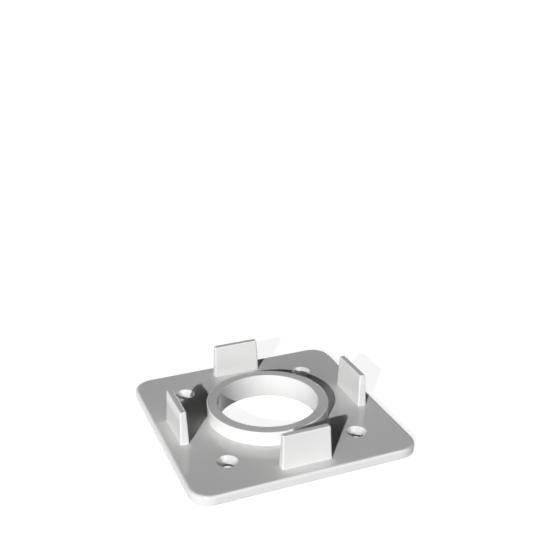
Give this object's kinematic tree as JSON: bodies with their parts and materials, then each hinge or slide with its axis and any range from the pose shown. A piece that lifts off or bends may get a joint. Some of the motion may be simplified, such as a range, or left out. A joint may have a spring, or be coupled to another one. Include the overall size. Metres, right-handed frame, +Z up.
{
  "type": "railing post base",
  "caption": "Square moulded plate with a raised centre ring, upright locating tabs on its sides and countersunk corner holes, to seat a railing post.",
  "frame": {"origin": "on the ring's axis at the plate's underside, which is the face that rests on the deck", "axes": "+Z up along the ring's axis, towards the post; +X along one side of the square plate and +Y along the next, each through the middle of a tab"},
  "size_m": [0.108, 0.108, 0.021],
  "materials": {
    "white_plastic": "smooth moulded, semi-gloss"
  },
  "bodies": {
    "root": {"post_base": "white_plastic"}
  },
  "joints": []
}
